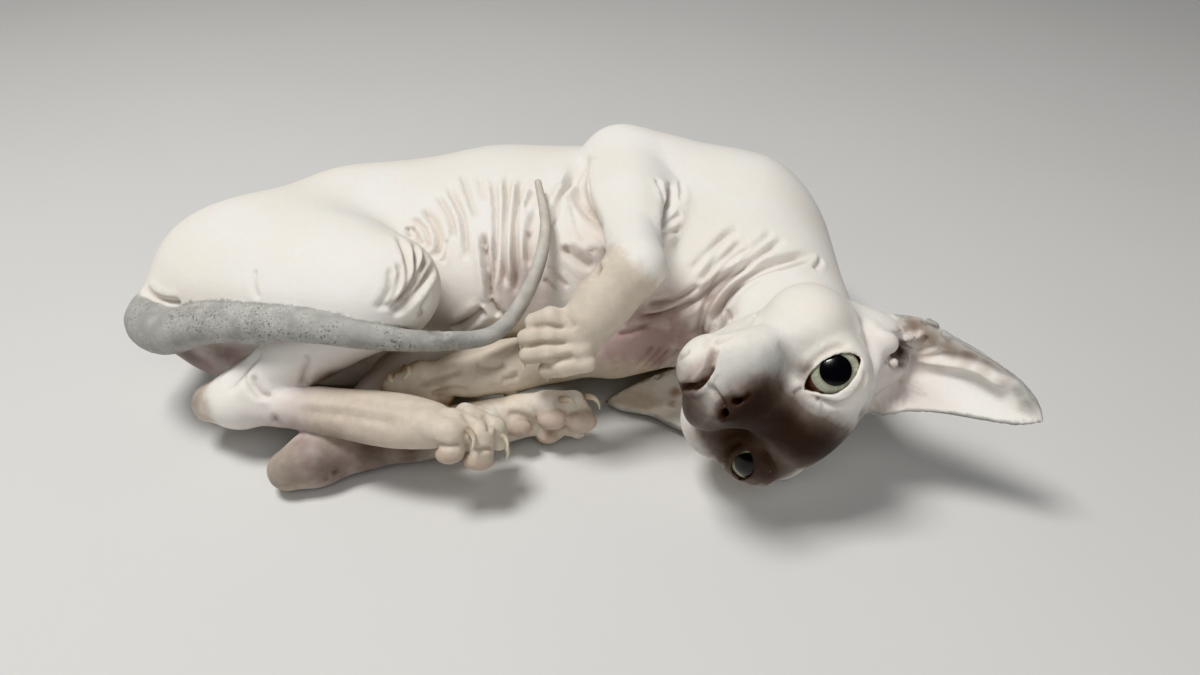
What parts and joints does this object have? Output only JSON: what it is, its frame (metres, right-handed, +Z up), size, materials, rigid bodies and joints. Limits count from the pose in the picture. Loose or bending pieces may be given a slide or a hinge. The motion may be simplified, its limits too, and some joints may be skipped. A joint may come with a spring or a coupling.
{
  "type": "sphynx cat model",
  "caption": "Life-size hairless cat lying on its left side, tail along the hind legs, head turned over to look up, one ear spread flat on the floor.",
  "frame": {"origin": "middle of the underside of the box round the whole cat", "axes": "+Z up from the floor, +X from the rump towards the shoulders and the upper ear, -Y towards the belly, the feet and the face"},
  "size_m": [0.3664, 0.2152, 0.1026],
  "materials": {
    "skin": "matte, soft, with fine folds",
    "eye": "wet gloss with a wide dark pupil",
    "claw": "satin horn"
  },
  "bodies": {
    "root": {"torso": "skin", "neck": "skin", "head": "skin", "ear_right": "skin", "ear_left": "skin", "eye_right": "eye", "eye_left": "eye", "fore_shoulder_right": "skin", "fore_arm_right": "skin", "fore_paw_right": "skin", "fore_shoulder_left": "skin", "fore_arm_left": "skin", "fore_paw_left": "skin", "hind_thigh_right": "skin", "hind_shin_right": "skin", "hind_foot_right": "skin", "hind_thigh_left": "skin", "hind_shin_left": "skin", "hind_foot_left": "skin", "tail_base": "skin", "tail_middle": "skin", "tail_tip": "skin", "claw_hind_right_1": "claw", "claw_hind_right_2": "claw", "claw_hind_right_3": "claw", "claw_hind_right_4": "claw", "claw_hind_left_1": "claw", "claw_hind_left_2": "claw", "claw_hind_left_3": "claw", "claw_hind_left_4": "claw", "claw_fore_right_1": "claw", "claw_fore_right_2": "claw", "claw_fore_right_3": "claw", "claw_fore_right_4": "claw", "claw_fore_left_1": "claw", "claw_fore_left_2": "claw", "claw_fore_left_3": "claw", "claw_fore_left_4": "claw"}
  },
  "joints": []
}
